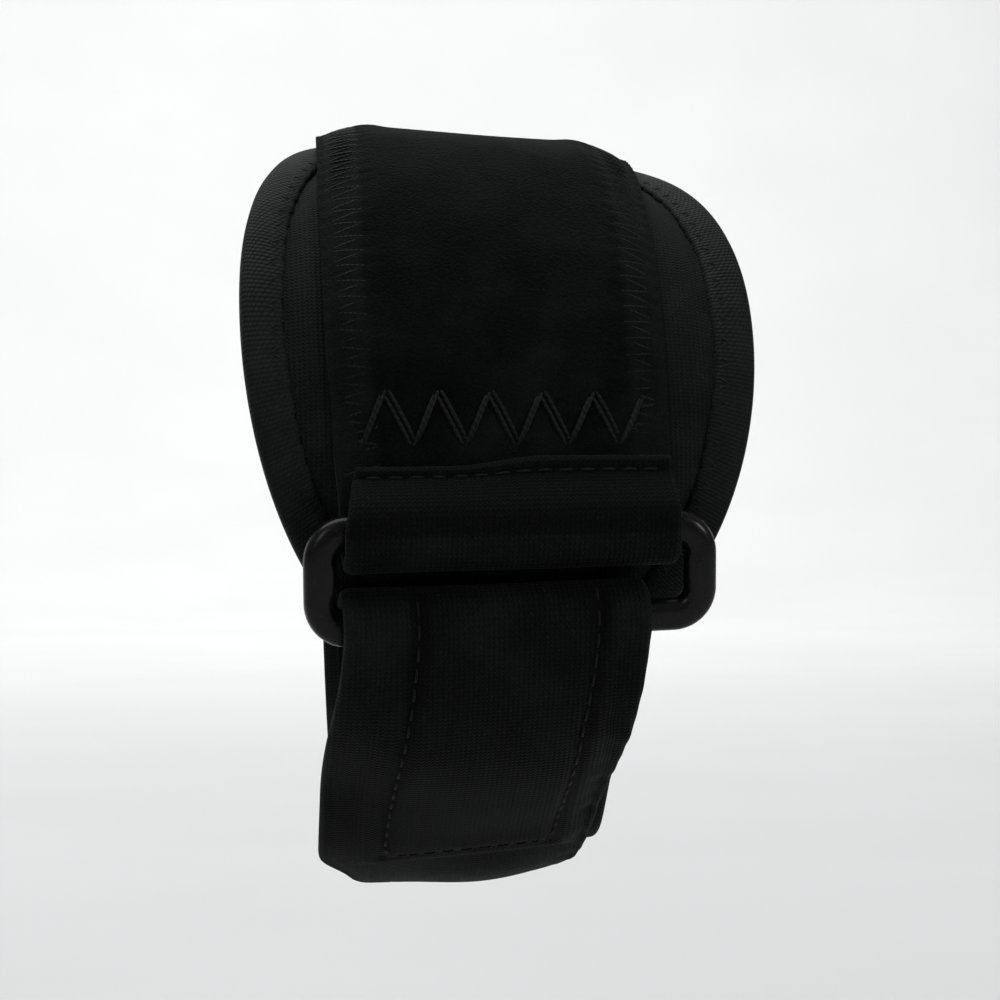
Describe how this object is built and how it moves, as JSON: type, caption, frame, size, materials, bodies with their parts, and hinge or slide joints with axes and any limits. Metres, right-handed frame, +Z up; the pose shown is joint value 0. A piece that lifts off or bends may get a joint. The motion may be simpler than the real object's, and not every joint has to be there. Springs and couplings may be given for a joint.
{
  "type": "tennis elbow strap",
  "caption": "Padded forearm strap closed as worn: an oval bound pad under a loop-pile strap that passes through a plastic ring and folds back on its hooks.",
  "frame": {"origin": "on the limb's axis, halfway across the strap's width", "axes": "+X along the forearm towards the hand, the ring and the pad face -Y, +Z up as in the picture"},
  "size_m": [0.0647, 0.1045, 0.1031],
  "materials": {
    "base_cloth": "black jersey over foam rubber, matte",
    "binding_tape": "black woven binding tape, soft sheen",
    "loop_cloth": "black brushed loop pile, matte and velvety",
    "hook_tape": "black nylon hook tape",
    "ring_plastic": "black moulded plastic, satin with soft highlights"
  },
  "bodies": {
    "root": {"padded_base": "base_cloth", "edge_binding": "binding_tape", "strap": "loop_cloth", "hook_patch": "hook_tape", "ring": "ring_plastic"}
  },
  "joints": []
}
